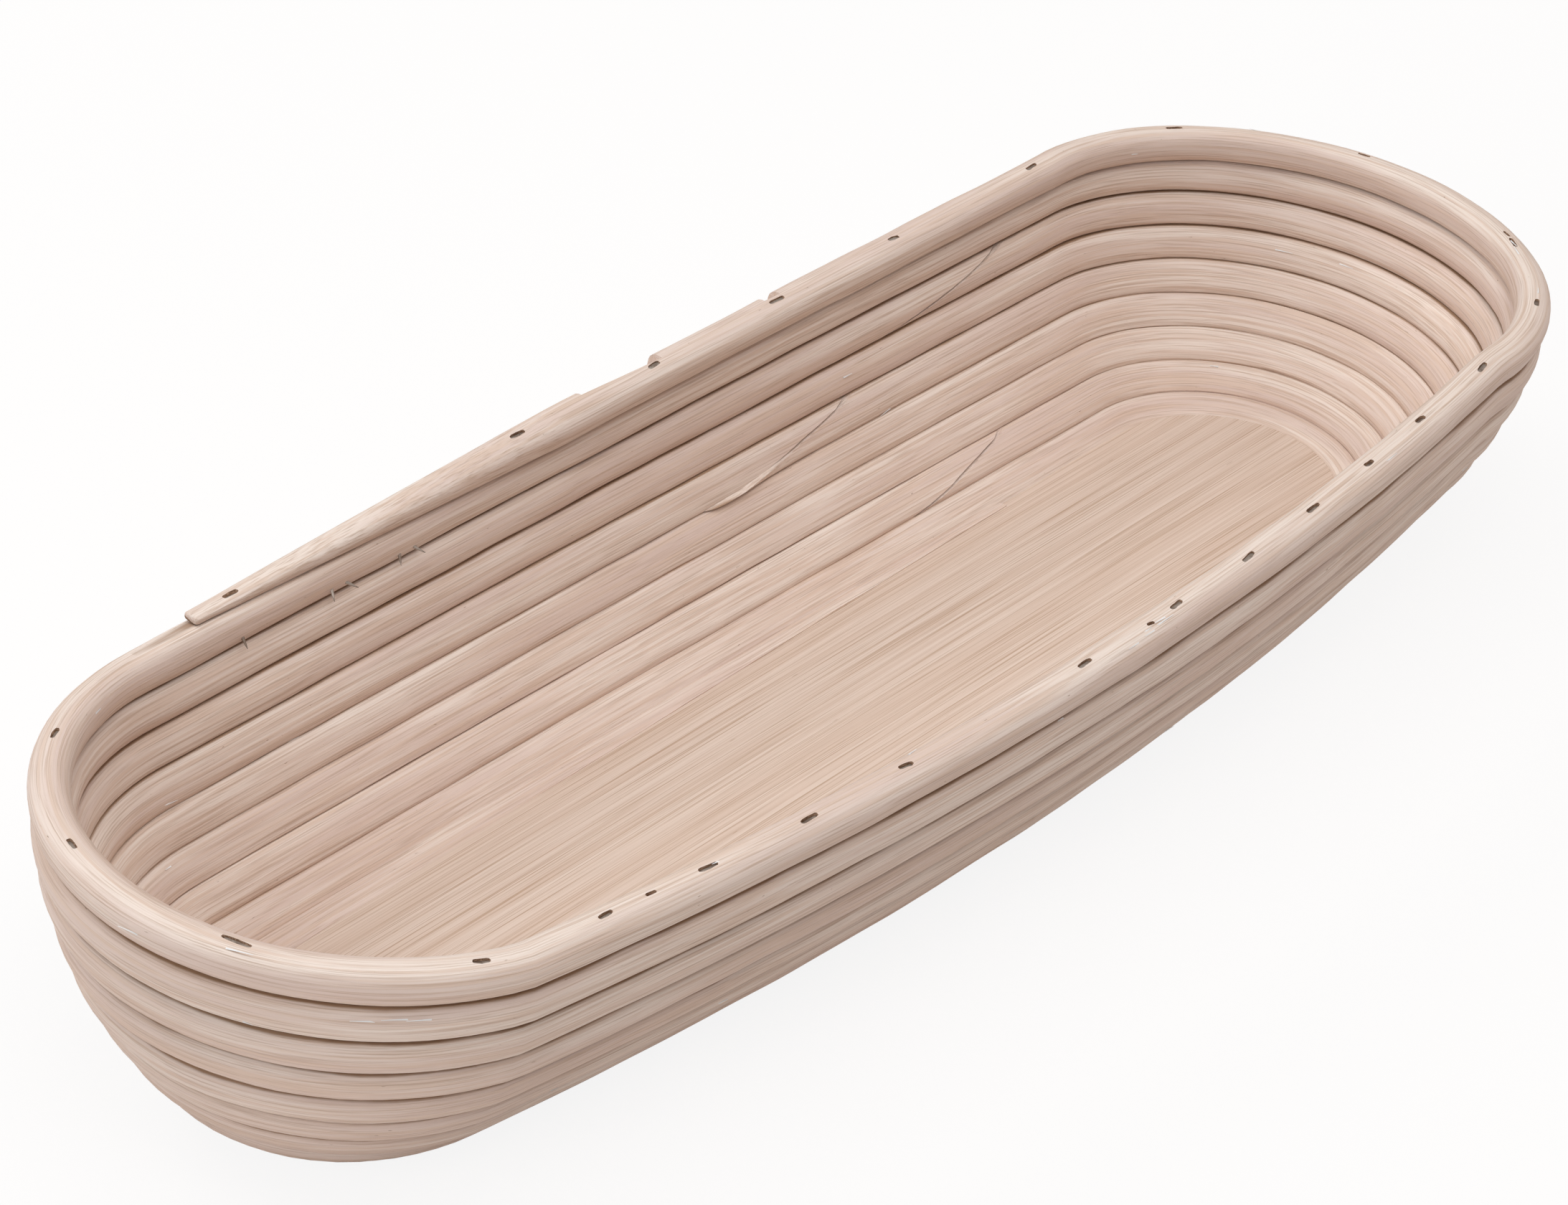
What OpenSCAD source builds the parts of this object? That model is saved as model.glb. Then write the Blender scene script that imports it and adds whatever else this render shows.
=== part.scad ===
// Long oval proofing basket: one spiral of round cane wound round a flat wooden base board.
// Millimetres, +X along the basket, +Y towards the straighter long side, +Z up.
// The origin lies under the middle of the basket, on the surface that the base board stands on.

/* [Cane] */
// Diameter of the peeled cane
cane_d = 8.3; // [6:0.1:11]
// Clear gap between one course of cane and the next
course_gap = 0.7; // [0.6:0.05:1.2]
// Length of the slanted cut where two lengths of cane meet
scarf_length = 46; // [20:1:60]
// Gap left between the two slanted faces of a splice
scarf_gap = 0.3; // [0.2:0.05:0.6]

/* [Basket] */
// Distance between the centres of the two round ends
end_centres = 296; // [220:1:380]
// Bow of the front long side, measured at its middle
front_bow = 12.5; // [4:0.5:24]
// Bow of the back long side, measured at its middle
back_bow = 0.5; // [0.5:0.5:16]
// Slope to which the first course rises off the level floor, in degrees
floor_slope = 36; // [20:1:50]
// Growth of the slope from one course to the next, in degrees
slope_growth = 6; // [3:0.1:12]
// Slope of the upper wall, in degrees
wall_slope = 81.5; // [60:0.5:88]
// How much steeper the wall stands at the left end, and flatter at the right end, in degrees
end_lean = 9; // [0:0.5:12]
// How far the last course is turned inwards, in degrees
rim_tuck = 48; // [0:1:50]

/* [Rim end] */
// Length over which the end of the cane is shaved down
taper_length = 80; // [40:1:120]
// Thickness of the cane that is left at its very end
taper_tip = 3.4; // [2:0.1:5]

/* [Base board] */
// Width of the board at its left round end
board_w = 50; // [44:1:70]
// Thickness of the board
board_t = 8.3; // [5:0.1:12]
// Gap between the board and the first course
board_gap = 0.3; // [0.2:0.05:0.6]
// Height of the first course above the surface that the board stands on
first_course_lift = 0.2; // [0.1:0.05:1]

/* [Staples] */
// Length of a staple's crown, along the cane
staple_crown = 5.8; // [4:0.1:6.5]
// Width of the staple's flat wire, across the cane
wire_w = 1.2; // [0.8:0.1:1.6]
// Thickness of the staple's flat wire
wire_t = 0.9; // [0.6:0.1:1.2]
// Depth of the crown below the top of the cane
staple_sink = 1.1; // [0.6:0.1:2]
// Depth that the legs reach into the course below
staple_bite = 3; // [2:0.1:3.5]
// Clearance round a staple in the wood
staple_gap = 0.1; // [0.05:0.01:0.2]

/* [Hidden] */

// Turns are counted from the right of the back side, where the cane starts. It stops at the left there.
courses = 9;
// Share of the first back run at which the shaved start of the cane begins
start_share = 0.16;
// Places of the staples along a course, as shares of the rim's length from the left of the back side
staple_shares = [0.03, 0.07, 0.12, 0.17, 0.2, 0.23, 0.255, 0.285, 0.335, 0.37, 0.395, 0.42, 0.45, 0.47,
                 0.495, 0.53, 0.565, 0.61, 0.66, 0.71, 0.76, 0.8, 0.845, 0.89, 0.985];
// Each splice lies on the back side: its course counted from 0, the staple before it on that course, and the
// share of the way to the next staple at which its middle lies, so that both thin ends keep clear of staples
splice_course = [1, 4, 6];
splice_after = [19, 21, 19];
splice_share = [0.75, 0.25, 0.75];

// Rings of the faceted cane along a long side and round an end, and the sides of each ring
side_rings = 6;
end_rings = 11;
cane_sides = 12;
loop_rings = 2 * (side_rings + end_rings);
back_part = side_rings / loop_rings;

cane_r = cane_d / 2;
pitch = cane_d + course_gap;
end_x = end_centres / 2;
mid_y = (front_bow - back_bow) / 2;

// Centre line at the left round end of the board, and the level of the first course
first_r = board_w / 2 + board_gap + cane_r;
first_z = cane_r + first_course_lift;

// Half the angle that a bowed long side turns through, and the distance from its centre to an end centre
back_turn = 2 * atan(back_bow / end_x);
front_turn = 2 * atan(front_bow / end_x);
back_reach = end_x / sin(back_turn);
front_reach = end_x / sin(front_turn);
end_turn = 180 - back_turn - front_turn;

start_turn = start_share * back_part;
last_turn = courses + back_part;

function unit(v) = v / norm(v);
function clamp(v, low, high) = min(max(v, low), high);
function running(values) =
    [for (i = 0, s = 0; i <= len(values); s = s + (i < len(values) ? values[i] : 0), i = i + 1) s];

// Slope of the wall after a number of turns: level at the start, and turned inwards over the last turn
function slope(turn) =
    min(wall_slope, floor_slope + slope_growth * turn) * clamp(turn, 0, 1)
    + rim_tuck * clamp(turn - last_turn + 1, 0, 1);

// Section of the wall: distance from the end centres and height after a number of turns
profile_step = 0.1;
profile_turns = [for (t = [0.5:1:(last_turn + 1) / profile_step]) t * profile_step];
profile_r = running([for (t = profile_turns) pitch * profile_step * cos(slope(t))]);
profile_z = running([for (t = profile_turns) pitch * profile_step * sin(slope(t))]);
function between(list, turn) =
    let (i = floor(turn / profile_step), f = turn / profile_step - i)
    list[i] * (1 - f) + list[i + 1] * f;
function section_r(turn) = between(profile_r, turn) - between(profile_r, back_part);
function section_z(turn) = between(profile_z, turn);

// Outward direction in plan at a place in the turn, as an angle from +X
function place_of(turn) = turn - floor(turn);
function plan_angle(place) =
    let (s = place * loop_rings)
    s < side_rings ? 90 - back_turn + 2 * back_turn * s / side_rings :
    s < side_rings + end_rings ? 90 + back_turn + end_turn * (s - side_rings) / end_rings :
    s < 2 * side_rings + end_rings ?
        270 - front_turn + 2 * front_turn * (s - side_rings - end_rings) / side_rings :
        270 + front_turn + end_turn * (s - 2 * side_rings - end_rings) / end_rings;

// The section is turned about the first course: upright at the left end, and laid back at the right end
function lean(turn) = -end_lean * cos(plan_angle(place_of(turn)));
function course_r(turn) =
    let (a = lean(turn))
    first_r + section_r(turn) * cos(a) - section_z(turn) * sin(a);
function course_z(turn) =
    let (a = lean(turn))
    first_z + section_z(turn) * cos(a) + section_r(turn) * sin(a);

// The plan is moved along X so that the origin lies under the middle of the basket
left_tip = (side_rings + end_rings / 2) / loop_rings;
right_tip = left_tip + 0.5;
function reach(place) = max([for (course = [0:courses - 1]) course_r(course + place)]);
mid_x = (reach(left_tip) - reach(right_tip)) / 2;

// Point in plan at a distance from the end centres: two bowed sides joined by two round ends
function plan_point(place, r) =
    let (s = place * loop_rings, t = plan_angle(place), out = [cos(t), sin(t)])
    [mid_x, mid_y] + (
        s < side_rings ? [0, -end_x / tan(back_turn)] + (r + back_reach) * out :
        s < side_rings + end_rings ? [-end_x, 0] + r * out :
        s < 2 * side_rings + end_rings ? [0, end_x / tan(front_turn)] + (r + front_reach) * out :
        [end_x, 0] + r * out);

// Centre line of the cane after a number of turns, with its directions along, up and out
tangent_step = 0.004;
function centre(turn) =
    let (p = plan_point(place_of(turn), course_r(turn)))
    [p[0], p[1], course_z(turn)];
function along(turn) = unit(centre(turn + tangent_step) - centre(turn - tangent_step));
function plan_out(turn) = let (t = plan_angle(place_of(turn))) [cos(t), sin(t), 0];
function upward(turn) = unit(cross(plan_out(turn), along(turn)));
function outward(turn) = cross(along(turn), upward(turn));

// Back edge of the board: it leans across one course, so that the first run of cane starts as a thin wedge
function board_edge(turn) =
    let (f = min(1, turn / back_part))
    (f < 1 ? course_r(1) * (1 - f) + course_r(back_part) * f : course_r(turn)) - cane_r - board_gap;
function inner_limit(turn) = turn < back_part ? board_edge(turn) + board_gap - course_r(turn) : -cane_r;

// Top of the cane above its centre line: the last stretch of the rim is shaved down
back_length = norm(centre(last_turn) - centre(courses));
taper_turn = last_turn - taper_length / back_length * back_part;
function top_limit(turn) =
    cane_r - (cane_d - taper_tip) * clamp((turn - taper_turn) / (last_turn - taper_turn), 0, 1);

// One ring of points round the cane, which leans along the cane where it ends in a splice
function ring(turn, lean = 0, shift = 0) =
    let (c = centre(turn), t = along(turn), u = upward(turn), o = outward(turn))
    [for (k = [0:cane_sides - 1])
        let (a = (k + 0.5) * 360 / cane_sides,
             x = max(cane_r * cos(a), inner_limit(turn)),
             y = min(cane_r * sin(a), top_limit(turn)))
        c + x * o + y * u + (shift - lean * y) * t];

// Splices: the earlier length runs out below the slant and the later one starts above it
scarf_lean = scarf_length / cane_d;
scarf_shift = scarf_gap / 2 * norm([1, scarf_lean]);
scarf_clear = (scarf_length / 2 + cane_d) / back_length * back_part;
end_clear = 0.3 / loop_rings;

function plain_rings(from, to) =
    [for (k = [ceil(from * loop_rings):1:floor(to * loop_rings)]) ring(k / loop_rings)];
function spliced_start(turn) = [ring(turn, scarf_lean, scarf_shift)];
function spliced_stop(turn) = [ring(turn, scarf_lean, -scarf_shift)];

// One unbroken tube through a list of rings, closed at both ends
module tube(rings) {
    n = cane_sides;
    last = (len(rings) - 1) * n;
    walls = [for (i = [0:len(rings) - 2], k = [0:n - 1])
        let (a = i * n + k, b = i * n + (k + 1) % n)
        each [[a, b, a + n], [b, b + n, a + n]]];
    start = [for (k = [1:n - 2]) [0, k + 1, k]];
    stop = [for (k = [1:n - 2]) [last, last + k, last + k + 1]];
    polyhedron(points = [for (r = rings) each r], faces = concat(walls, start, stop), convexity = 10);
}

// Staple places as turns: shares of the rim's length, moved midway on every second course
rim_from = courses - 1 + back_part;
rim_steps = 4 * loop_rings;
rim_points = [for (k = [0:rim_steps]) centre(rim_from + k / rim_steps)];
rim_lengths = running([for (k = [1:rim_steps]) norm(rim_points[k] - rim_points[k - 1])]);
rim_table = [for (k = [0:rim_steps]) [rim_lengths[k] / rim_lengths[rim_steps], k / rim_steps]];
function midway(k) =
    (staple_shares[k] + (k + 1 < len(staple_shares) ? staple_shares[k + 1] : 1 + staple_shares[0])) / 2;
function staple_turns(course) =
    let (moved = (courses - 1 - course) % 2 == 1)
    [for (k = [0:len(staple_shares) - 1])
        let (share = moved ? midway(k) : staple_shares[k])
        course + back_part + floor(share) + lookup(share - floor(share), rim_table)];

// Places of the splices as turns, each between two staples of its own course
splice_turns = [for (i = [0:len(splice_course) - 1])
    let (turns = staple_turns(splice_course[i]), k = splice_after[i])
    turns[k] * (1 - splice_share[i]) + turns[k + 1] * splice_share[i]];

// A staple stands across two courses, or across the first course and the board
staple_leg = cane_d - staple_sink + course_gap + staple_bite;
function staple_up(turn) =
    let (t = along(turn), v = turn < 1 ? plan_out(turn) : centre(turn) - centre(turn - 1))
    unit(v - (v * t) * t);
module at_staple(turn) {
    t = along(turn);
    u = staple_up(turn);
    w = cross(t, u);
    o = centre(turn) + u * (top_limit(turn) - staple_sink);
    multmatrix([[t[0], u[0], w[0], o[0]], [t[1], u[1], w[1], o[1]], [t[2], u[2], w[2], o[2]], [0, 0, 0, 1]])
        children();
}
module staple() {
    x = staple_crown / 2;
    linear_extrude(wire_w, center = true)
        polygon([[-x, 0], [x, 0], [x, wire_t - staple_leg], [x - wire_t, -staple_leg], [x - wire_t, -wire_t],
                 [wire_t - x, -wire_t], [wire_t - x, -staple_leg], [-x, wire_t - staple_leg]]);
}
module staple_slot() {
    x = staple_crown / 2 + staple_gap;
    inner = staple_crown / 2 - wire_t - staple_gap;
    high = staple_sink + course_gap / 2;
    low = -staple_leg - staple_gap;
    under = -wire_t - staple_gap;
    linear_extrude(wire_w + 2 * staple_gap, center = true)
        polygon([[-x, high], [x, high], [x, low], [inner, low], [inner, under],
                 [-inner, under], [-inner, low], [-x, low]]);
}
module staples(course) {
    color("#8a8781")
        for (turn = staple_turns(course))
            at_staple(turn)
                staple();
}

// A length of cane, slotted for its own staples and for the legs of those in the next course
slot_reach = 1.5 / loop_rings;
module cane(from, to, rings) {
    color("#dcc7b4")
        difference() {
            tube(rings);
            for (course = [0:courses - 1], turn = staple_turns(course))
                if (turn > from - slot_reach && turn < to + 1 + slot_reach)
                    at_staple(turn)
                        staple_slot();
        }
}

// Flat board inside the first turn of cane
module base_board() {
    color("#dfc9ae")
        difference() {
            linear_extrude(board_t)
                polygon([for (k = [0:loop_rings - 1])
                    plan_point(k / loop_rings, board_edge(k / loop_rings))]);
            for (turn = staple_turns(0))
                at_staple(turn)
                    staple_slot();
        }
}

// First length, from its shaved start beside the board
module first_cane() {
    stop = splice_turns[0];
    cane(start_turn, stop, concat([ring(start_turn)],
                                  plain_rings(start_turn + end_clear, stop - scarf_clear),
                                  spliced_stop(stop)));
}

// A middle length, spliced at both ends
module middle_cane(start, stop) {
    cane(start, stop, concat(spliced_start(start),
                             plain_rings(start + scarf_clear, stop - scarf_clear),
                             spliced_stop(stop)));
}
module second_cane() {
    middle_cane(splice_turns[0], splice_turns[1]);
}
module third_cane() {
    middle_cane(splice_turns[1], splice_turns[2]);
}

// Last length, which makes the rim and is shaved down towards its end
module rim_cane() {
    start = splice_turns[2];
    cane(start, last_turn, concat(spliced_start(start),
                                  plain_rings(start + scarf_clear, taper_turn - end_clear),
                                  [ring(taper_turn)],
                                  plain_rings(taper_turn + end_clear, last_turn - end_clear),
                                  [ring(last_turn)]));
}

// Least clear gap between one course and the next, measured between points of their centre lines
gap_turns = [for (k = [ceil(start_turn * loop_rings):floor((last_turn - 1) * loop_rings)]) k / loop_rings];
gap_moves = [-0.01:0.0025:0.01];
echo(least_gap = min([for (t = gap_turns, d = gap_moves) norm(centre(t + 1 + d) - centre(t)) - cane_d]));

base_board();
first_cane();
second_cane();
third_cane();
rim_cane();
staples(0);  // board_staples
staples(1);  // course_2_staples
staples(2);  // course_3_staples
staples(3);  // course_4_staples
staples(4);  // course_5_staples
staples(5);  // course_6_staples
staples(6);  // course_7_staples
staples(7);  // course_8_staples
staples(8);  // rim_staples
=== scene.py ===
import math

import bpy
import numpy as np
from mathutils import Matrix, Vector


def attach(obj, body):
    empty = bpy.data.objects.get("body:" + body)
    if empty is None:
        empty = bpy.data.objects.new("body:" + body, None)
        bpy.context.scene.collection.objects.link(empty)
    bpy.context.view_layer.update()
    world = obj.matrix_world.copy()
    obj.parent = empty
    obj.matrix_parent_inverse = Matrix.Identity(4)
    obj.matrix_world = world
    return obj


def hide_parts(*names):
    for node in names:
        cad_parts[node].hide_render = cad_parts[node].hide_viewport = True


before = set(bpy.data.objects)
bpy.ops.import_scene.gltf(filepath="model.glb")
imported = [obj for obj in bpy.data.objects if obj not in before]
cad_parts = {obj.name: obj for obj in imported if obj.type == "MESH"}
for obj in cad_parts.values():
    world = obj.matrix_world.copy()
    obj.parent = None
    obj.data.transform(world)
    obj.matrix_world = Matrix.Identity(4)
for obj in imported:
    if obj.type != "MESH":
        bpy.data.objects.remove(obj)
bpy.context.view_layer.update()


# Base board: a flat sanded board with round ends and bowed sides, which the winding starts from.
# Light, straight-grained wood, sawn to its outline and with its edges eased.
# At the back its edge leans in, to leave room for the thin start of the cane.
mm = 0.001
pitch = 9.0 * mm
cane_r = 4.15 * mm
end_x = 148 * mm
front_bow = 12.5 * mm
back_bow = 0.5 * mm
mid_y = (front_bow - back_bow) / 2
board_w = 50 * mm
board_t = 8.3 * mm
board_edge_round = 0.6 * mm
board_points = 272
board_sharp_from = math.radians(60)
board_smooth_below = math.radians(35)
board_gap = 0.3 * mm
table_gap = 0.2 * mm

courses = 9
side_part = 6 / 34
end_part = 11 / 34
last_turn = courses + side_part
floor_slope = 36
slope_growth = 6
wall_slope = 81.5
rim_tuck = 48
end_lean = math.radians(9)
first_r = board_w / 2 + board_gap + cane_r
first_z = cane_r + table_gap

back_turn = 2 * math.atan(back_bow / end_x)
front_turn = 2 * math.atan(front_bow / end_x)
end_turn = math.pi - back_turn - front_turn

profile_steps = 4000
spare_turns = 0.5
profile_turns = np.linspace(0, last_turn + spare_turns, profile_steps)
profile_slope = np.radians(
    np.minimum(wall_slope, floor_slope + slope_growth * profile_turns) * np.clip(profile_turns, 0, 1)
    + rim_tuck * np.clip(profile_turns - last_turn + 1, 0, 1))
profile_step = profile_turns[1] * pitch
profile_r = np.concatenate([[0], np.cumsum(np.cos(profile_slope) * profile_step)[:-1]])
profile_z = np.concatenate([[0], np.cumsum(np.sin(profile_slope) * profile_step)[:-1]])
profile_r -= np.interp(side_part, profile_turns, profile_r)


def plan_angle(turn):
    """Outward direction in plan, as an angle from +X: two bowed long sides joined by two round ends."""
    place = turn - math.floor(turn)
    if place < side_part:
        return math.pi / 2 - back_turn + 2 * back_turn * place / side_part
    if place < side_part + end_part:
        return math.pi / 2 + back_turn + end_turn * (place - side_part) / end_part
    if place < 2 * side_part + end_part:
        return 1.5 * math.pi - front_turn + 2 * front_turn * (place - side_part - end_part) / side_part
    return 1.5 * math.pi + front_turn + end_turn * (place - 2 * side_part - end_part) / end_part


def lean(turn):
    """Turn of the wall's section: it stands steeper at the left end and flatter at the right end."""
    return -end_lean * math.cos(plan_angle(turn))


def course_r(turn):
    """Distance of the cane's centre line, outwards from the end centres and the bows that join them."""
    r = np.interp(turn, profile_turns, profile_r)
    z = np.interp(turn, profile_turns, profile_z)
    return first_r + float(r * math.cos(lean(turn)) - z * math.sin(lean(turn)))


def course_z(turn):
    """Height of the cane's centre line."""
    r = np.interp(turn, profile_turns, profile_r)
    z = np.interp(turn, profile_turns, profile_z)
    return first_z + float(z * math.cos(lean(turn)) + r * math.sin(lean(turn)))


left_tip = side_part + end_part / 2
right_tip = left_tip + 0.5
mid_x = (max(course_r(c + left_tip) for c in range(courses))
         - max(course_r(c + right_tip) for c in range(courses))) / 2


def plan_point(turn, r):
    """Point in plan at a distance outwards from the end centres and the bows that join them."""
    place = turn - math.floor(turn)
    angle = plan_angle(turn)
    if place < side_part:
        middle = Vector((0, -end_x / math.tan(back_turn), 0))
        reach = r + end_x / math.sin(back_turn)
    elif place < side_part + end_part:
        middle = Vector((-end_x, 0, 0))
        reach = r
    elif place < 2 * side_part + end_part:
        middle = Vector((0, end_x / math.tan(front_turn), 0))
        reach = r + end_x / math.sin(front_turn)
    else:
        middle = Vector((end_x, 0, 0))
        reach = r
    return Vector((mid_x, mid_y, 0)) + middle + reach * Vector((math.cos(angle), math.sin(angle), 0))


def board_edge_r(turn):
    """Distance of the board's edge, which leans in at the back as the cane's wedge grows thicker."""
    if turn < side_part:
        share = turn / side_part
        return course_r(1) * (1 - share) + course_r(side_part) * share - cane_r
    return course_r(turn) - cane_r


def pick(piece):
    """Makes a piece the only selected and the active one."""
    bpy.ops.object.select_all(action="DESELECT")
    piece.select_set(True)
    bpy.context.view_layer.objects.active = piece


def apply_modifier(piece, kind, **settings):
    """Adds a modifier with its settings and applies it at once."""
    pick(piece)
    modifier = piece.modifiers.new(kind.lower(), kind)
    for key, value in settings.items():
        setattr(modifier, key, value)
    bpy.ops.object.modifier_apply(modifier=modifier.name)


bpy.ops.object.select_all(action="DESELECT")
bpy.ops.mesh.primitive_circle_add(vertices=board_points, radius=end_x, fill_type="NGON")
board = bpy.context.object
board.name = "base_board_sanded"
for i, vertex in enumerate(board.data.vertices):
    vertex.co = plan_point(i / board_points, board_edge_r(i / board_points))
bpy.ops.object.mode_set(mode="EDIT")
bpy.ops.mesh.select_all(action="SELECT")
bpy.ops.mesh.extrude_region_move(TRANSFORM_OT_translate={"value": (0, 0, board_t)})
bpy.ops.mesh.select_all(action="SELECT")
bpy.ops.mesh.normals_make_consistent(inside=False)
bpy.ops.object.mode_set(mode="OBJECT")
apply_modifier(board, "BEVEL", width=board_edge_round, segments=3, limit_method="ANGLE",
               angle_limit=board_sharp_from)
bpy.ops.object.shade_smooth_by_angle(angle=board_smooth_below)


def new_group(name, inputs, outputs):
    """An empty node group with its named sockets."""
    group = bpy.data.node_groups.new(name, "ShaderNodeTree")
    for label, kind in inputs:
        group.interface.new_socket(label, in_out="INPUT", socket_type=kind)
    for label, kind in outputs:
        group.interface.new_socket(label, in_out="OUTPUT", socket_type=kind)
    return group, group.nodes.new("NodeGroupInput"), group.nodes.new("NodeGroupOutput")


def add(tree, kind, inputs=None, **settings):
    """A node with its properties, and its inputs by name or number: plain values, or sockets to link."""
    node = tree.nodes.new(kind)
    for key, value in settings.items():
        setattr(node, key, value)
    for key, value in (inputs or {}).items():
        if hasattr(value, "is_linked"):
            tree.links.new(value, node.inputs[key])
        else:
            node.inputs[key].default_value = value
    return node


def stretched_noise(tree, vector, length, width, detail=2.0, rough=0.55):
    """Noise drawn out along X: its specks are about this long and this wide."""
    scaled = add(tree, "ShaderNodeVectorMath", {0: vector, 1: (1 / length, 1 / width, 1 / width)},
                 operation="MULTIPLY")
    noise = add(tree, "ShaderNodeTexNoise", {"Vector": scaled.outputs[0], "Scale": 1.0, "Detail": detail,
                                             "Roughness": rough})
    return noise.outputs["Fac"]


def spread(tree, value, low, high, out_low=0.0, out_high=1.0):
    """A value stretched smoothly from one range to another, and clamped."""
    limits = {"Value": value, "From Min": low, "From Max": high, "To Min": out_low, "To Max": out_high}
    return add(tree, "ShaderNodeMapRange", limits, interpolation_type="SMOOTHSTEP").outputs[0]


def math_node(tree, operation, *values):
    """One step of arithmetic on values or sockets."""
    return add(tree, "ShaderNodeMath", dict(enumerate(values)), operation=operation).outputs[0]


def mix_colour(tree, share, first, second):
    """Two colours, or colour sockets, mixed by a share."""
    first, second = ((*c, 1.0) if isinstance(c, tuple) else c for c in (first, second))
    return add(tree, "ShaderNodeMix", {0: share, 6: first, 7: second}, data_type="RGBA").outputs[2]


tone_speck = (90 * mm, 6 * mm)
streak_speck = (55 * mm, 0.9 * mm, 2.0, 0.6)
fibre_speck = (30 * mm, 0.32 * mm, 2.0, 0.65)
pore_speck = (2.2 * mm, 0.35 * mm, 1.0, 0.5)
pore_range = (0.79, 0.84)
streak_height = 0.6
wood_grain, group_in, group_out = new_group(
    "wood_grain", [("Vector", "NodeSocketVector")],
    [("Tone", "NodeSocketFloat"), ("Streak", "NodeSocketFloat"), ("Fibre", "NodeSocketFloat"),
     ("Pores", "NodeSocketFloat"), ("Height", "NodeSocketFloat")])
along_wood = group_in.outputs["Vector"]
tone = stretched_noise(wood_grain, along_wood, *tone_speck)
streak = stretched_noise(wood_grain, along_wood, *streak_speck)
fibre = stretched_noise(wood_grain, along_wood, *fibre_speck)
pore = stretched_noise(wood_grain, along_wood, *pore_speck)
pores = spread(wood_grain, pore, *pore_range)
height = math_node(wood_grain, "ADD", math_node(wood_grain, "MULTIPLY", streak, streak_height), fibre)
height = math_node(wood_grain, "SUBTRACT", height, pores)
for label, value in (("Tone", tone), ("Streak", streak), ("Fibre", fibre),
                     ("Pores", pores), ("Height", height)):
    wood_grain.links.new(value, group_out.inputs[label])


def new_material(name, **constants):
    """A material whose Principled shader has these plain values."""
    material = bpy.data.materials.new(name)
    material.use_nodes = True
    shader = material.node_tree.nodes["Principled BSDF"]
    for key, value in constants.items():
        shader.inputs[key.replace("_", " ")].default_value = value
    return material, material.node_tree, shader


board_pale = (0.74, 0.615, 0.53)
board_warm = (0.63, 0.48, 0.385)
board_pore = (0.46, 0.31, 0.21)
board_stretch = (0.4, 1.0, 1.0)
year_speck = (600 * mm, 2.4 * mm, 4.0, 0.7)
year_to_warm = (0.42, 0.62, 0.0, 0.6)
board_streak_to_warm = (0.42, 0.66, 0.0, 0.35)
board_fibre_to_pore = (0.46, 0.7, 0.0, 0.85)
board_fibre_to_rough = (0.3, 0.7, 0.55, 0.75)
board_bump = 0.5
bump_depth = 0.2 * mm
board_wood, tree, shader = new_material("board_wood", Specular_IOR_Level=0.3)
spot = add(tree, "ShaderNodeTexCoord").outputs["Object"]
longer = add(tree, "ShaderNodeVectorMath", {0: spot, 1: board_stretch}, operation="MULTIPLY").outputs[0]
grain = add(tree, "ShaderNodeGroup", node_tree=wood_grain)
tree.links.new(longer, grain.inputs["Vector"])
year_line = stretched_noise(tree, spot, *year_speck)
colour = mix_colour(tree, spread(tree, year_line, *year_to_warm), board_pale, board_warm)
colour = mix_colour(tree, spread(tree, grain.outputs["Streak"], *board_streak_to_warm), colour, board_warm)
colour = mix_colour(tree, spread(tree, grain.outputs["Fibre"], *board_fibre_to_pore), colour, board_pore)
colour = mix_colour(tree, grain.outputs["Pores"], colour, board_pore)
tree.links.new(colour, shader.inputs["Base Color"])
tree.links.new(spread(tree, grain.outputs["Fibre"], *board_fibre_to_rough), shader.inputs["Roughness"])
bump = add(tree, "ShaderNodeBump", {"Strength": board_bump, "Distance": bump_depth,
                                    "Height": grain.outputs["Height"]})
tree.links.new(bump.outputs["Normal"], shader.inputs["Normal"])
board.data.materials.append(board_wood)
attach(board, "root")
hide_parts("base_board")


# Winding: four lengths of peeled round cane, spliced end to end and wound in one spiral up to the rim.
# Each is made as a straight rod, flattened where the courses press on each other. Its ends are cut slanting
# or shaved down, the rim is slotted for its staples, and then the rod is bent along the winding.
wall_half = 4.7 * mm
wall_thick = 4.35 * mm
floor_power = 4.0
wall_power = 2.2
outer_power = 2.45
rim_power = 2.4
scraped_turns = 4
scraped_fade = 3
cane_sides = 24
ring_step = 4 * mm
unevenness = 0.5 * mm
uneven_length = 24 * mm
scarf_length = 46 * mm
scarf_gap = 0.6 * mm
sprung_length = 34 * mm
sprung_in = 4.2 * mm
sprung_up = 2.4 * mm
free_turns = 1.1
free_fade = 0.1
rim_top = 3.9 * mm
back_rim_top = 3.4 * mm
back_rim_length = 330 * mm
back_rim_fade = 150 * mm
tongue_length = 105 * mm
tongue_half_w = 2.1 * mm
tongue_half_t = 1.0 * mm
tongue_out = 3.0 * mm
tongue_down = 3.2 * mm
tongue_power = 3.2
tongue_short = 17 * mm
whittled_share = 0.3
tip_round = 0.7 * mm
start_share = 0.16
wedge_overlap = 0.3 * mm
wedge_lean = 0.02
lowest_z = 0.05 * mm
cane_smooth_below = math.radians(38)
path_steps = 400
spare_steps = 8


def centre(turn):
    """A point of the cane's centre line."""
    point = plan_point(turn, course_r(turn))
    return Vector((point.x, point.y, course_z(turn)))


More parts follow.
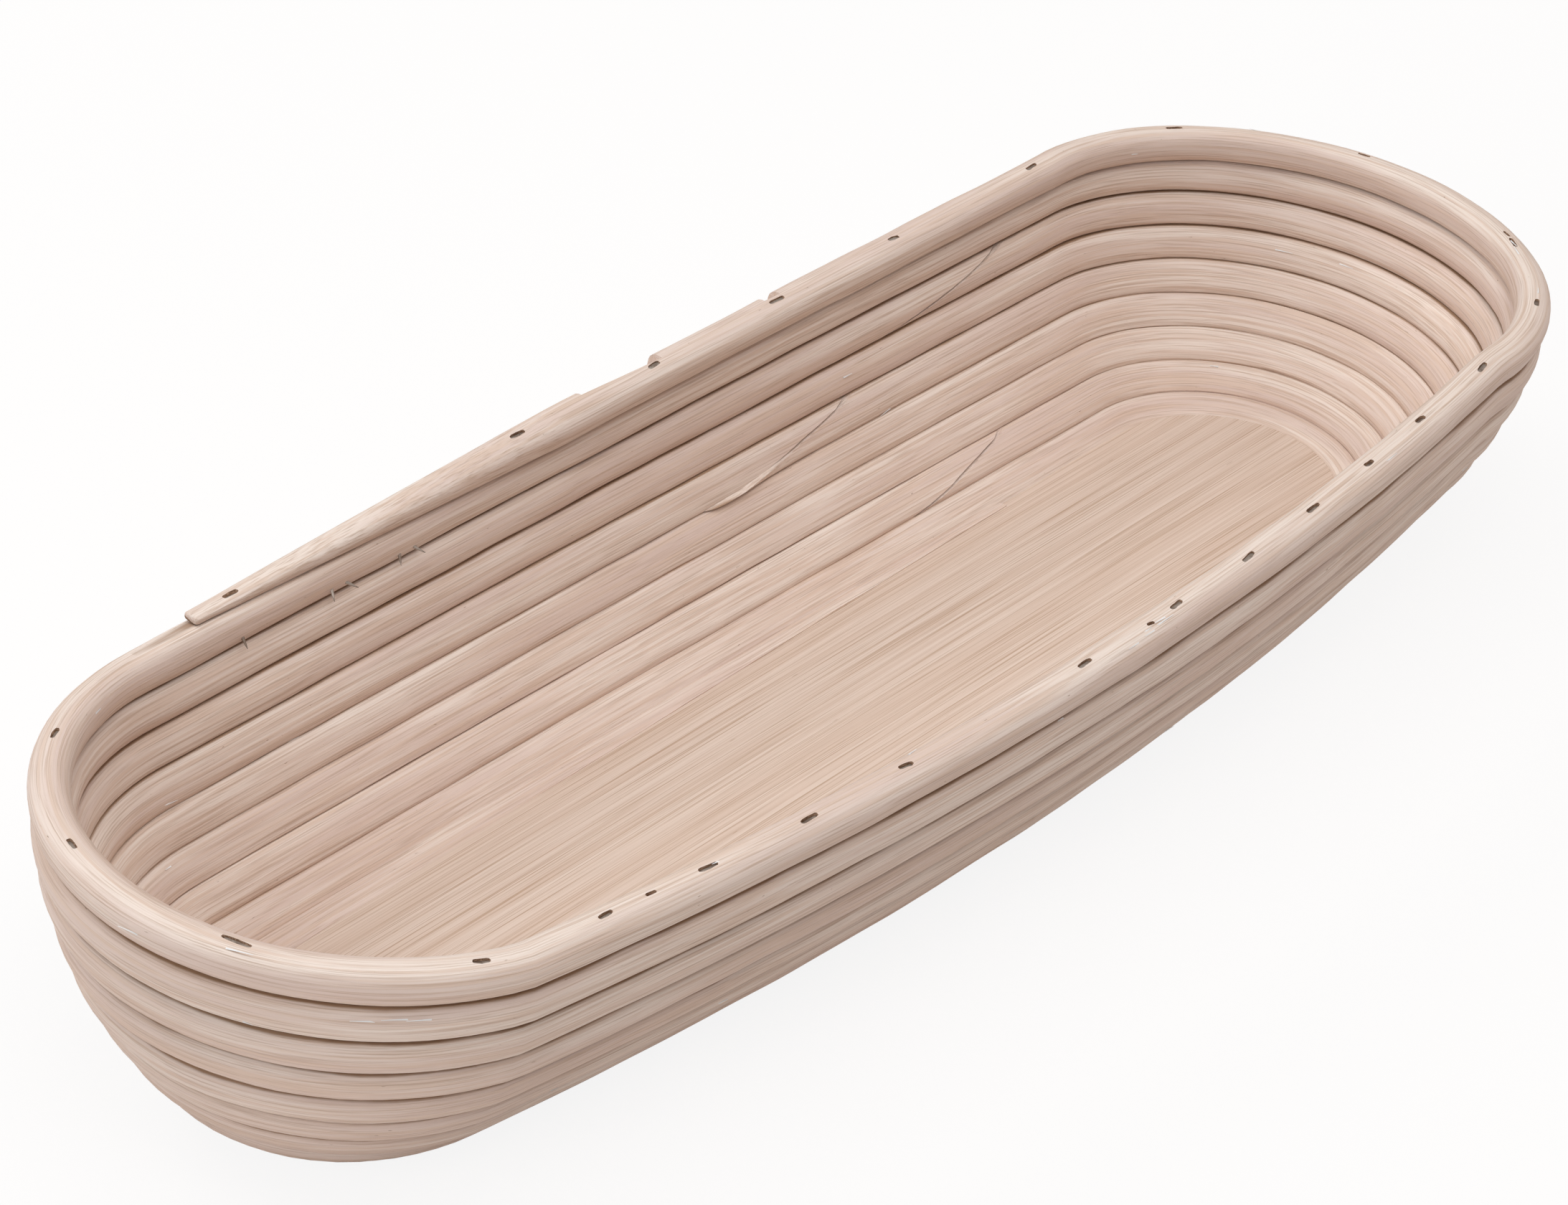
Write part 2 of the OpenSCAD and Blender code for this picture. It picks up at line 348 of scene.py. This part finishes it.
path_turns = np.arange(0, int(last_turn * path_steps) + spare_steps) / path_steps
path_points = [centre(t) for t in path_turns]
path_gaps = [(b - a).length for a, b in zip(path_points, path_points[1:])]
path_lengths = np.concatenate([[0], np.cumsum(path_gaps)])
free_above = np.clip((path_turns - last_turn + free_turns) / free_fade, 0, 1)
path_slopes = (np.interp(path_turns - 0.5 * free_above, profile_turns, profile_slope)
               + np.array([lean(t) for t in path_turns]))


def length_at(turn):
    """Length of the winding up to a turn."""
    return float(np.interp(turn, path_turns, path_lengths))


def turn_at(length):
    """Turn that the winding has reached after a length."""
    return float(np.interp(length, path_lengths, path_turns))


winding = bpy.data.curves.new("winding_path", "CURVE")
winding.dimensions = "3D"
winding.twist_mode = "Z_UP"
spline = winding.splines.new("POLY")
spline.points.add(len(path_points) - 1)
for point, spot in zip(spline.points, path_points):
    point.co = (*spot, 1)
winding_path = bpy.data.objects.new("winding_path", winding)
bpy.context.scene.collection.objects.link(winding_path)

cloud = bpy.data.textures.new("uneven_cane", "CLOUDS")
cloud.noise_scale = uneven_length
cloud.noise_depth = 1


def mesh_points(piece):
    """The mesh's points, one per row."""
    points = np.empty(len(piece.data.vertices) * 3, np.float32)
    piece.data.vertices.foreach_get("co", points)
    return points.reshape(-1, 3).astype(float)


def set_mesh_points(piece, points):
    """Moves the mesh's points to these places."""
    piece.data.vertices.foreach_set("co", points.astype(np.float32).ravel())
    piece.data.update()


rim_start = length_at(last_turn - 1)
rim_stop = length_at(last_turn)
tongue_stop = rim_stop - tongue_short


def section(length, around):
    """Points round the cane, outwards and upwards from its centre line. Inside, the low courses are scraped
    flatter. The rim's free side is lower, and its end is whittled to a thin tongue on the course below."""
    free = np.interp(length, path_lengths, free_above)
    on_back = np.clip((length - rim_stop + back_rim_length) / back_rim_fade, 0, 1)
    tongue = np.clip((length - tongue_stop + tongue_length) / tongue_length, 0, 1)
    slope = np.interp(length, path_lengths, path_slopes)
    axis = slope + (math.pi / 2 - slope) * tongue
    top = wall_half + (rim_top + (back_rim_top - rim_top) * on_back - wall_half) * free
    above = np.cos(around - axis)
    side = np.sin(around - axis)
    half = np.where(above > 0, top, wall_half) * (1 - tongue) + tongue_half_t * tongue
    thick = wall_thick * (1 - tongue) + tongue_half_w * tongue
    high = np.clip((np.interp(length, path_lengths, path_turns) - scraped_turns) / scraped_fade, 0, 1)
    power = np.where(side > 0, floor_power + (wall_power - floor_power) * high, outer_power)
    power = (power + (rim_power - power) * free) * (1 - tongue) + tongue_power * tongue
    reach = ((np.abs(above) / half) ** power + (np.abs(side) / thick) ** power) ** (-1 / power)
    return reach * np.cos(around) + tongue_out * tongue, reach * np.sin(around) - tongue_down * tongue


def straight_rod(name, start, stop):
    """A rod of cane along X between two lengths of the winding, open at its ends. -Y is outwards, +Z up."""
    bpy.ops.object.select_all(action="DESELECT")
    bpy.ops.mesh.primitive_circle_add(vertices=cane_sides, radius=cane_r, fill_type="NOTHING")
    rod = bpy.context.object
    rod.name = name
    rod.data.transform(Matrix.Translation((start, 0, 0)) @ Matrix.Rotation(math.pi / 2, 4, "Y"))
    steps = int((stop - start) / ring_step)
    apply_modifier(rod, "SCREW", axis="X", angle=0, screw_offset=stop - start, steps=steps,
                   render_steps=steps)
    points = mesh_points(rod)
    out, points[:, 2] = section(points[:, 0], np.arctan2(points[:, 2], -points[:, 1]))
    points[:, 1] = -out
    set_mesh_points(rod, points)
    apply_modifier(rod, "DISPLACE", texture=cloud, texture_coords="LOCAL", strength=unevenness, mid_level=0.5)
    whittled = np.clip((points[:, :1] - tongue_stop + tongue_length) / (whittled_share * tongue_length), 0, 1)
    set_mesh_points(rod, points * whittled + mesh_points(rod) * (1 - whittled))
    return rod


def cut(rod, spot, keep, edge_round=0.0):
    """Saws the rod through and keeps the side that keep points to. The cut's edge is eased or stays sharp."""
    pick(rod)
    bpy.ops.object.mode_set(mode="EDIT")
    bpy.ops.mesh.select_all(action="SELECT")
    bpy.ops.mesh.bisect(plane_co=spot, plane_no=-Vector(keep).normalized(), use_fill=True, clear_outer=True)
    bpy.ops.mesh.region_to_loop()
    if edge_round:
        bpy.ops.mesh.bevel(offset=edge_round, segments=3, affect="EDGES")
    else:
        bpy.ops.mesh.mark_sharp()
    bpy.ops.object.mode_set(mode="OBJECT")


def cut_splice(rod, length, side):
    """A slanted cut: the earlier rod (side -1) runs out below it, the later one (side 1) starts above it."""
    slant = Vector((1, 0, scarf_length / (2 * cane_r))).normalized()
    cut(rod, Vector((length, 0, 0)) + side * scarf_gap / 2 * slant, side * slant)


def wind(rod):
    """Keeps each point's place on the straight rod for the grain, then bends the rod along the winding."""
    pick(rod)
    bpy.ops.object.mode_set(mode="EDIT")
    bpy.ops.mesh.select_all(action="SELECT")
    bpy.ops.mesh.normals_make_consistent(inside=False)
    bpy.ops.object.mode_set(mode="OBJECT")
    points = mesh_points(rod)
    slope = np.interp(points[:, 0], path_lengths, path_slopes)
    turns = np.interp(points[:, 0], path_lengths, path_turns)
    wall = np.stack([0 * slope, -np.cos(slope), np.sin(slope)], -1)
    # wall, covered and course record where each course meets its neighbours, for the painted groove shade.
    for name, kind, key, values in (("straight", "FLOAT_VECTOR", "vector", points),
                                    ("wall", "FLOAT_VECTOR", "vector", wall),
                                    ("covered", "FLOAT", "value", turns < last_turn - 1),
                                    ("course", "FLOAT", "value", turns)):
        rod.data.attributes.new(name, kind, "POINT").data.foreach_set(key, values.astype(np.float32).ravel())
    apply_modifier(rod, "CURVE", object=winding_path, deform_axis="POS_X")
    points = mesh_points(rod)
    points[:, 2] = np.maximum(points[:, 2], lowest_z)
    set_mesh_points(rod, points)
    bpy.ops.object.shade_smooth_by_angle(angle=cane_smooth_below)


staple_shares = (0.03, 0.07, 0.12, 0.17, 0.2, 0.23, 0.255, 0.285, 0.335, 0.37, 0.395, 0.42, 0.45, 0.47,
                 0.495, 0.53, 0.565, 0.61, 0.66, 0.71, 0.76, 0.8, 0.845, 0.89, 0.985)


def staple_length(course, number):
    """Place of a staple along the winding. Every second course has its staples midway between the rim's."""
    share = staple_shares[number]
    below = courses - 1 - course
    if below % 2 == 1:
        share = (share + staple_shares[number + 1]) / 2
    return length_at(turn_at(rim_start + share * (rim_stop - rim_start)) - below)


def splice_length(course, number, share):
    """Place of a splice between two staples of a course."""
    return staple_length(course, number) * (1 - share) + staple_length(course, number + 1) * share


splice_places = ((1, 19, 0.75), (4, 21, 0.25), (6, 19, 0.75))
splices = [splice_length(*place) for place in splice_places]
first_cane = straight_rod("first_cane_wound", 0, splices[0] + scarf_length)
# Its start is shaved to a wedge, flat against the board's edge.
wedge_rise = (course_r(1) - course_r(side_part)) / length_at(side_part)
points = mesh_points(first_cane)
board_side = cane_r + wedge_overlap + wedge_rise * (points[:, 0] - length_at(side_part))
points[:, 1] = np.minimum(points[:, 1], board_side + wedge_lean * points[:, 2])
set_mesh_points(first_cane, points)
cut(first_cane, (length_at(start_share * side_part), 0, 0), (1, 0, 0))
cut_splice(first_cane, splices[0], -1)

second_cane = straight_rod("second_cane_wound", splices[0] - scarf_length, splices[1] + scarf_length)
cut_splice(second_cane, splices[0], 1)
cut_splice(second_cane, splices[1], -1)
# Its last end has sprung inwards and up from the splice.
points = mesh_points(second_cane)
sprung = np.clip((points[:, 0] - splices[1] - scarf_length / 2 + sprung_length) / sprung_length, 0, 1)
points[:, 1] += sprung_in * sprung ** 2
points[:, 2] += sprung_up * sprung ** 2
set_mesh_points(second_cane, points)

third_cane = straight_rod("third_cane_wound", splices[1] - scarf_length, splices[2] + scarf_length)
cut_splice(third_cane, splices[1], 1)
cut_splice(third_cane, splices[2], -1)

rim_cane = straight_rod("rim_cane_wound", splices[2] - scarf_length, rim_stop + ring_step)
cut_splice(rim_cane, splices[2], 1)
cut(rim_cane, (tongue_stop, 0, 0), (-1, 0, 0), tip_round)

rim_shares = (0.033, 0.073, 0.118, 0.165, 0.193, 0.218, 0.244, 0.271, 0.325, 0.356, 0.382, 0.408, 0.432,
              0.456, 0.486, 0.525, 0.556, 0.61, 0.66, 0.71, 0.762, 0.804, 0.846, 0.889, 0.972)
seat_askew = 7
seat_stray = 0.5
slot_long = 4.4 * mm
slot_wide = 1.4 * mm
slot_deep = 1.1 * mm
slot_above = 3 * mm
slot_corners = 14
slot_square = 0.6
slot_long_range = (0.75, 1.1)
slot_wide_range = (0.75, 1.05)
torn_slot = 2
torn_longer = 1.5
last_seat_out = math.radians(28)
worn_shares = (0.204, 0.3465, 0.5605)
worn_long = 0.6
worn_wide = 0.7
chance = np.random.default_rng(11)


def rim_seat(share):
    """Where a staple meets the rim on the straight rod: out along Z, the cane along X, slightly askew."""
    length = rim_start + share * (rim_stop - rim_start)
    turn = turn_at(length)
    step = centre(turn) - centre(turn - 1)
    outwards = Vector((math.cos(plan_angle(turn)), math.sin(plan_angle(turn)), 0))
    steep = math.atan2(step.z, step.dot(outwards))
    if share == rim_shares[-1]:
        steep -= last_seat_out
    out, up = (float(v) for v in section(length, steep))
    return (Matrix.Translation((length, -out, up)) @ Matrix.Rotation(math.pi / 2 - steep, 4, "X")
            @ Matrix.Rotation(math.radians(chance.uniform(-seat_askew, seat_askew)), 4, "Z")
            @ Matrix.Translation((0, chance.uniform(-seat_stray, seat_stray) * mm, 0)))


def join(pieces, name):
    """Joins the pieces into the first one and names it."""
    pick(pieces[0])
    for piece in pieces:
        piece.select_set(True)
    bpy.ops.object.join()
    pieces[0].name = name
    return pieces[0]


rim_seats = [rim_seat(share) for share in rim_shares]
worn_seats = [rim_seat(share) for share in worn_shares]
cutters = []
for number, seat in enumerate(rim_seats + worn_seats):
    bpy.ops.object.select_all(action="DESELECT")
    bpy.ops.mesh.primitive_cylinder_add(vertices=slot_corners, radius=0.5, depth=1)
    cutters.append(bpy.context.object)
    long = slot_long * (torn_longer if number == torn_slot else chance.uniform(*slot_long_range))
    wide = slot_wide * chance.uniform(*slot_wide_range, slot_corners)
    if seat in worn_seats:
        long *= worn_long
        wide *= worn_wide
    for vertex in cutters[-1].data.vertices:
        x, y = (math.copysign(abs(2 * v) ** slot_square / 2, v) for v in vertex.co[:2])
        vertex.co.x = x * long
        vertex.co.y = y * wide[vertex.index // 2]
    cutters[-1].data.transform(seat @ Matrix.Translation((0, 0, (slot_above - slot_deep) / 2))
                               @ Matrix.Diagonal((1, 1, slot_above + slot_deep, 1)))
slots = join(cutters, "slots")

seen_chips = ((0.855, 25 * mm, 1.5 * mm), (0.804, 5 * mm, 1.3 * mm))
chip_steep = math.radians(43)
chip_wide = 12 * mm
chip_tilt = -0.04
chips = []
for share, long, deep in seen_chips:
    bpy.ops.object.select_all(action="DESELECT")
    bpy.ops.mesh.primitive_cube_add(size=1)
    chips.append(bpy.context.object)
    length = rim_start + share * (rim_stop - rim_start)
    out, up = (float(v) for v in section(length, chip_steep))
    chips[-1].data.transform(Matrix.Translation((length, -out, up))
                             @ Matrix.Rotation(math.pi / 2 - chip_steep, 4, "X")
                             @ Matrix.Translation((0, 0, slot_above - deep))
                             @ Matrix.Rotation(chip_tilt, 4, "Y")
                             @ Matrix.Diagonal((long, chip_wide, 2 * slot_above, 1)))
chips = join(chips, "chips")

# The slots' wood is dark brown. This is partly its torn wood and partly painted shade in the slot's recess.
slot_torn_and_shade = (0.27, 0.165, 0.105)
slot_pale = (0.54, 0.36, 0.25)
torn_speck = (1.2 * mm, 0.4 * mm)
torn_to_pale = (0.4, 0.65)
slot_wood, tree, shader = new_material("slot_wood", Roughness=0.9, Specular_IOR_Level=0.1)
torn = stretched_noise(tree, add(tree, "ShaderNodeTexCoord").outputs["Object"], *torn_speck)
colour = mix_colour(tree, spread(tree, torn, *torn_to_pale), slot_torn_and_shade, slot_pale)
tree.links.new(colour, shader.inputs["Base Color"])

cane_pale = (0.79, 0.68, 0.605)
cane_warm = (0.68, 0.525, 0.43)
cane_pink = (0.69, 0.55, 0.485)
cane_line = (0.50, 0.355, 0.27)
cane_pore = (0.36, 0.23, 0.15)
# Painted shade: the grooves between the courses are painted tan to brown, where shade falls between the
# canes.
groove_shade_brown = (0.27, 0.15, 0.08)
groove_shade_tan = (0.46, 0.29, 0.175)
tone_to_pink = (0.38, 0.66)
streak_to_warm = (0.42, 0.66, 0.0, 0.9)
fibre_to_line = (0.45, 0.72, 0.0, 0.75)
fibre_to_rough = (0.3, 0.7, 0.5, 0.7)
wander_speck = (18 * mm, 3 * mm)
wander_reach = 0.12
outer_range = (1 * mm, -1 * mm)
shade_depth_courses = (3.0, 7.0)
shade_widening_by_course = (7.0, 2.0, 0.04, 0.1)
groove_shade_range = (0.93, 1.02)
groove_shade_by_depth = (0.0, 1.0, 0.65, 0.95)
cane_bump = 0.7
cane_wood, tree, shader = new_material("peeled_cane", Specular_IOR_Level=0.35)
straight = add(tree, "ShaderNodeAttribute", attribute_name="straight").outputs["Vector"]
wall = add(tree, "ShaderNodeAttribute", attribute_name="wall").outputs["Vector"]
covered = add(tree, "ShaderNodeAttribute", attribute_name="covered").outputs["Fac"]
course = add(tree, "ShaderNodeAttribute", attribute_name="course").outputs["Fac"]
grain = add(tree, "ShaderNodeGroup", node_tree=wood_grain)
tree.links.new(straight, grain.inputs["Vector"])
colour = mix_colour(tree, spread(tree, grain.outputs["Tone"], *tone_to_pink), cane_pale, cane_pink)
colour = mix_colour(tree, spread(tree, grain.outputs["Streak"], *streak_to_warm), colour, cane_warm)
colour = mix_colour(tree, spread(tree, grain.outputs["Fibre"], *fibre_to_line), colour, cane_line)
colour = mix_colour(tree, grain.outputs["Pores"], colour, cane_pore)
# Painted shade mask for the grooves: near where a course meets the courses above and below, and wobbled by
# noise. It is stronger and browner on the outer side and the upper courses, and wider low on the outer side.
up_wall = add(tree, "ShaderNodeVectorMath", {0: straight, 1: wall}, operation="DOT_PRODUCT").outputs["Value"]
up_wall = math_node(tree, "DIVIDE", up_wall, wall_half)
wander = math_node(tree, "MULTIPLY", stretched_noise(tree, straight, *wander_speck), wander_reach)
groove_shade_mask = math_node(tree, "MAXIMUM", math_node(tree, "MULTIPLY", up_wall, -1.0),
                  math_node(tree, "MULTIPLY", up_wall, covered))
across = add(tree, "ShaderNodeVectorMath", {0: straight, 1: wall}, operation="CROSS_PRODUCT").outputs[0]
inner = add(tree, "ShaderNodeSeparateXYZ", {0: across}).outputs["X"]
outer = spread(tree, inner, *outer_range)
deep = math_node(tree, "MAXIMUM", spread(tree, course, *shade_depth_courses), outer)
groove_shade_widening = math_node(tree, "MULTIPLY", deep, spread(tree, course, *shade_widening_by_course))
groove_shade_mask = math_node(tree, "ADD", math_node(tree, "ADD", groove_shade_mask, wander), groove_shade_widening)
groove_shade_mask = math_node(tree, "MULTIPLY", spread(tree, groove_shade_mask, *groove_shade_range), spread(tree, deep, *groove_shade_by_depth))
colour = mix_colour(tree, groove_shade_mask, colour, mix_colour(tree, deep, groove_shade_tan, groove_shade_brown))
tree.links.new(colour, shader.inputs["Base Color"])
tree.links.new(spread(tree, grain.outputs["Fibre"], *fibre_to_rough), shader.inputs["Roughness"])
bump = add(tree, "ShaderNodeBump", {"Strength": cane_bump, "Distance": bump_depth,
                                    "Height": grain.outputs["Height"]})
tree.links.new(bump.outputs["Normal"], shader.inputs["Normal"])

for rod in (first_cane, second_cane, third_cane, rim_cane):
    rod.data.materials.append(cane_wood)
chips.data.materials.append(cane_wood)
slots.data.materials.append(slot_wood)
for tool in (chips, slots):
    apply_modifier(rim_cane, "BOOLEAN", operation="DIFFERENCE", object=tool, solver="EXACT",
                   material_mode="TRANSFER")
    bpy.data.objects.remove(tool)

fibre_w = 0.32 * mm
fibre_t = 0.2 * mm
fibre_tip = 0.3
fibre_reach = 0.35
fibre_long_range = (0.7, 1.4)
fibre_raised_range = (3, 9)
seen_fibre_long = 4 * mm
loose_fibre_long = 2.5 * mm
loose_fibres = 40
loose_from = 300 * mm
seen_fibres = ((8.065, 54), (7.974, 54), (7.969, 48), (7.728, 0), (7.747, 60), (7.977, 62), (7.979, 70),
               (7.972, 66), (6.777, 28), (6.783, 33), (6.787, 30), (5.434, 150), (5.284, 144), (5.266, 132),
               (4.686, 192), (8.179, 100), (8.185, 92), (4.455, 205))


def loose_fibre(length, around, long, raised, flip):
    """A thin sliver of wood, loose at one end, on the straight rod. Around is counted from outwards."""
    bpy.ops.object.select_all(action="DESELECT")
    bpy.ops.mesh.primitive_cube_add(size=1)
    sliver = bpy.context.object
    for vertex in sliver.data.vertices:
        if vertex.co.x > 0:
            vertex.co.yz *= fibre_tip
    out, up = (float(v) for v in section(length, around))
    away = Vector((0, -math.cos(around), math.sin(around)))
    axes = Matrix((Vector((1, 0, 0)), away.cross(Vector((1, 0, 0))), away)).transposed().to_4x4()
    sliver.data.transform(Matrix.Translation((length, -out, up)) @ axes
                          @ Matrix.Rotation(math.pi * flip, 4, "Z") @ Matrix.Rotation(-raised, 4, "Y")
                          @ Matrix.Translation((long * fibre_reach, 0, 0))
                          @ Matrix.Diagonal((long, fibre_w, fibre_t, 1)))
    return sliver


rod_stops = splices + [tongue_stop - tongue_length]
fibres = [[first_cane], [second_cane], [third_cane], [rim_cane]]
places = [(length, math.radians(around), seen_fibre_long) for length, around in seen_fibres]
for number in range(loose_fibres):
    length = chance.uniform(loose_from, rod_stops[3])
    places.append((length, chance.uniform(0, 2 * math.pi), loose_fibre_long))
for length, around, long in places:
    rod_number = sum(length > stop for stop in rod_stops[:3])
    long *= chance.uniform(*fibre_long_range)
    raised = math.radians(chance.uniform(*fibre_raised_range))
    fibres[rod_number].append(loose_fibre(length, around, long, raised, chance.integers(2)))

for pieces, node in zip(fibres, ("first_cane", "second_cane", "third_cane", "rim_cane")):
    rod = join(pieces, node + "_wound")
    wind(rod)
    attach(rod, "root")
    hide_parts(node)


# Staples: flat galvanised wire driven through each course into the one below, to hold the winding together.
# The rim's sit a little askew. Their crowns show in short torn slots, and a few points come out inside.
# Those of the lower courses are covered by the cane above them.
staple_crown = 5.8 * mm
staple_leg = 10.9 * mm
wire_w = 1.2 * mm
wire_t = 0.9 * mm
wire_round = 0.2 * mm
wire_sharp_from = math.radians(40)
staple_sink = 0.6 * mm
sink_range = (0.6, 1.4)
steel_bright = (0.42, 0.36, 0.31)
steel_dark = (0.20, 0.145, 0.11)
stain_speck = (3 * mm, 3 * mm, 3.0, 0.6)
stain_to_dark = (0.4, 0.65)
stain_to_rough = (0.3, 0.7, 0.35, 0.6)
staple_steel, tree, shader = new_material("staple_steel", Metallic=0.4)
stain = stretched_noise(tree, add(tree, "ShaderNodeTexCoord").outputs["Object"], *stain_speck)
colour = mix_colour(tree, spread(tree, stain, *stain_to_dark), steel_bright, steel_dark)
tree.links.new(colour, shader.inputs["Base Color"])
tree.links.new(spread(tree, stain, *stain_to_rough), shader.inputs["Roughness"])
for name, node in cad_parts.items():
    if name.endswith("_staples"):
        node.data.materials.clear()
        node.data.materials.append(staple_steel)

half = staple_crown / 2
staple_outline = ((-half, 0), (half, 0), (half, wire_t - staple_leg), (half - wire_t, -staple_leg),
                  (half - wire_t, -wire_t), (wire_t - half, -wire_t), (wire_t - half, -staple_leg),
                  (-half, wire_t - staple_leg))
bpy.ops.object.select_all(action="DESELECT")
bpy.ops.mesh.primitive_circle_add(vertices=len(staple_outline), radius=half, fill_type="NGON")
staple = bpy.context.object
for vertex, (x, z) in zip(staple.data.vertices, staple_outline):
    vertex.co = (x, -wire_w / 2, z)
bpy.ops.object.mode_set(mode="EDIT")
bpy.ops.mesh.select_all(action="SELECT")
bpy.ops.mesh.extrude_region_move(TRANSFORM_OT_translate={"value": (0, wire_w, 0)})
bpy.ops.mesh.select_all(action="SELECT")
bpy.ops.mesh.normals_make_consistent(inside=False)
bpy.ops.object.mode_set(mode="OBJECT")
apply_modifier(staple, "BEVEL", width=wire_round, segments=2, limit_method="ANGLE",
               angle_limit=wire_sharp_from)
bpy.ops.object.shade_smooth_by_angle(angle=wire_sharp_from)
tangent_turns = 0.004


def wound_frame(length):
    """Turns the straight rod's frame at a length into the bent winding's frame there."""
    turn = turn_at(length)
    along = (centre(turn + tangent_turns) - centre(turn - tangent_turns)).normalized()
    inward = Vector((0, 0, 1)).cross(along).normalized()
    axes = Matrix((along, inward, along.cross(inward))).transposed().to_4x4()
    return Matrix.Translation(centre(turn)) @ axes @ Matrix.Translation((-length, 0, 0))


driven = []
for seat in rim_seats:
    copy = staple.copy()
    copy.data = staple.data.copy()
    bpy.context.scene.collection.objects.link(copy)
    copy.data.transform(wound_frame(seat.translation.x) @ seat
                        @ Matrix.Translation((0, 0, -staple_sink * chance.uniform(*sink_range))))
    driven.append(copy)
bpy.data.objects.remove(staple)

point_long = 5 * mm
point_r = 0.7 * mm
point_tip_r = 0.1 * mm
point_sides = 6
point_out = 0.2 * mm
point_around = math.radians(205)
point_down = math.radians(-120)
seen_points = ((7.602, 15), (7.572, -35), (7.5765, 25), (7.552, -30), (7.5565, 30))
for length, turned in seen_points:
    bpy.ops.object.select_all(action="DESELECT")
    bpy.ops.mesh.primitive_cone_add(vertices=point_sides, radius1=point_r, radius2=point_tip_r,
                                    depth=point_long)
    out, up = (float(v) for v in section(length, point_around))
    bpy.context.object.data.transform(wound_frame(length) @ Matrix.Translation((length, -out, up))
                                      @ Matrix.Rotation(point_down, 4, "X")
                                      @ Matrix.Rotation(math.radians(turned), 4, "Y")
                                      @ Matrix.Translation((0, 0, point_out)))
    driven.append(bpy.context.object)
rim_staples = join(driven, "rim_staples_driven")
rim_staples.data.materials.append(staple_steel)
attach(rim_staples, "root")
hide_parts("rim_staples")
bpy.data.objects.remove(winding_path)


# Stage: a plain white floor under soft studio light, seen from the photograph's angle.
# The floor is white to the camera and keeps the basket's soft shadow.
floor_size = 8.0
floor_tint = (0.86, 0.80, 0.76, 1.0)
floor_glow = 0.88
bpy.ops.object.select_all(action="DESELECT")
bpy.ops.mesh.primitive_plane_add(size=floor_size)
floor = bpy.context.object
floor.name = "studio_floor"
floor_white, tree, shader = new_material("floor_white", Roughness=0.9, Base_Color=floor_tint)
seen = math_node(tree, "MULTIPLY", add(tree, "ShaderNodeLightPath").outputs["Is Camera Ray"], floor_glow)
glow = add(tree, "ShaderNodeEmission", {"Strength": 1.0})
mixed = add(tree, "ShaderNodeMixShader", {0: seen, 1: shader.outputs[0], 2: glow.outputs[0]})
tree.links.new(mixed.outputs[0], tree.nodes["Material Output"].inputs["Surface"])
floor.data.materials.append(floor_white)

world_level = 0.06
world = bpy.data.worlds.new("studio")
bpy.context.scene.world = world
world.use_nodes = True
tree = world.node_tree
seen = add(tree, "ShaderNodeLightPath").outputs["Is Camera Ray"]
tree.links.new(spread(tree, seen, 0.0, 1.0, world_level, 1.0), tree.nodes["Background"].inputs["Strength"])
tree.nodes["Background"].inputs["Color"].default_value = (1.0, 1.0, 1.0, 1.0)


def softbox(name, spot, size, power, tint):
    """A square area lamp that points at the basket."""
    lamp = bpy.data.lights.new(name, "AREA")
    lamp.color = tint
    lamp.shape = "SQUARE"
    lamp.size = size
    lamp.energy = power
    box = bpy.data.objects.new(name, lamp)
    box.location = spot
    box.rotation_euler = Vector(spot).to_track_quat("Z", "Y").to_euler()
    bpy.context.scene.collection.objects.link(box)


softbox("top_softbox", (0.0, 0.0, 1.7), 1.4, 15.0, (1.0, 1.0, 1.0))
softbox("left_softbox", (-1.5, -0.3, 1.0), 1.0, 11.5, (0.94, 0.97, 1.0))
softbox("front_softbox", (-0.4, -0.9, 1.6), 1.0, 5.0, (1.0, 0.95, 0.92))
softbox("right_softbox", (1.4, -0.6, 1.0), 1.0, 8.0, (1.0, 0.92, 0.88))
softbox("back_softbox", (-0.4, 1.4, 1.1), 1.0, 14.0, (1.0, 1.0, 1.0))

image_w = 2186
focal_px = 5936
azimuth = math.radians(49.62)
elevation = math.radians(35.036)
roll = math.radians(3.552)
target = Vector((-10.995, 21.23, 35.3)) * mm
shift_right = 2.25
shift_up = 0.8
distance = 964.4 * mm
back = Vector((-math.sin(azimuth) * math.cos(elevation), -math.cos(azimuth) * math.cos(elevation),
               math.sin(elevation)))
level_right = Vector((math.cos(azimuth), -math.sin(azimuth), 0))
level_up = back.cross(level_right)
right = math.cos(roll) * level_right + math.sin(roll) * level_up
up = -math.sin(roll) * level_right + math.cos(roll) * level_up
lens = bpy.data.cameras.new("camera")
lens.sensor_fit = "HORIZONTAL"
lens.sensor_width = 36
lens.lens = focal_px * lens.sensor_width / image_w
camera = bpy.data.objects.new("camera", lens)
target += (shift_right * right + shift_up * up) * mm
camera_axes = Matrix((right, up, back)).transposed().to_4x4()
camera.matrix_world = Matrix.Translation(target + distance * back) @ camera_axes
bpy.context.scene.collection.objects.link(camera)
bpy.context.scene.camera = camera
bpy.context.scene.view_settings.view_transform = "Standard"
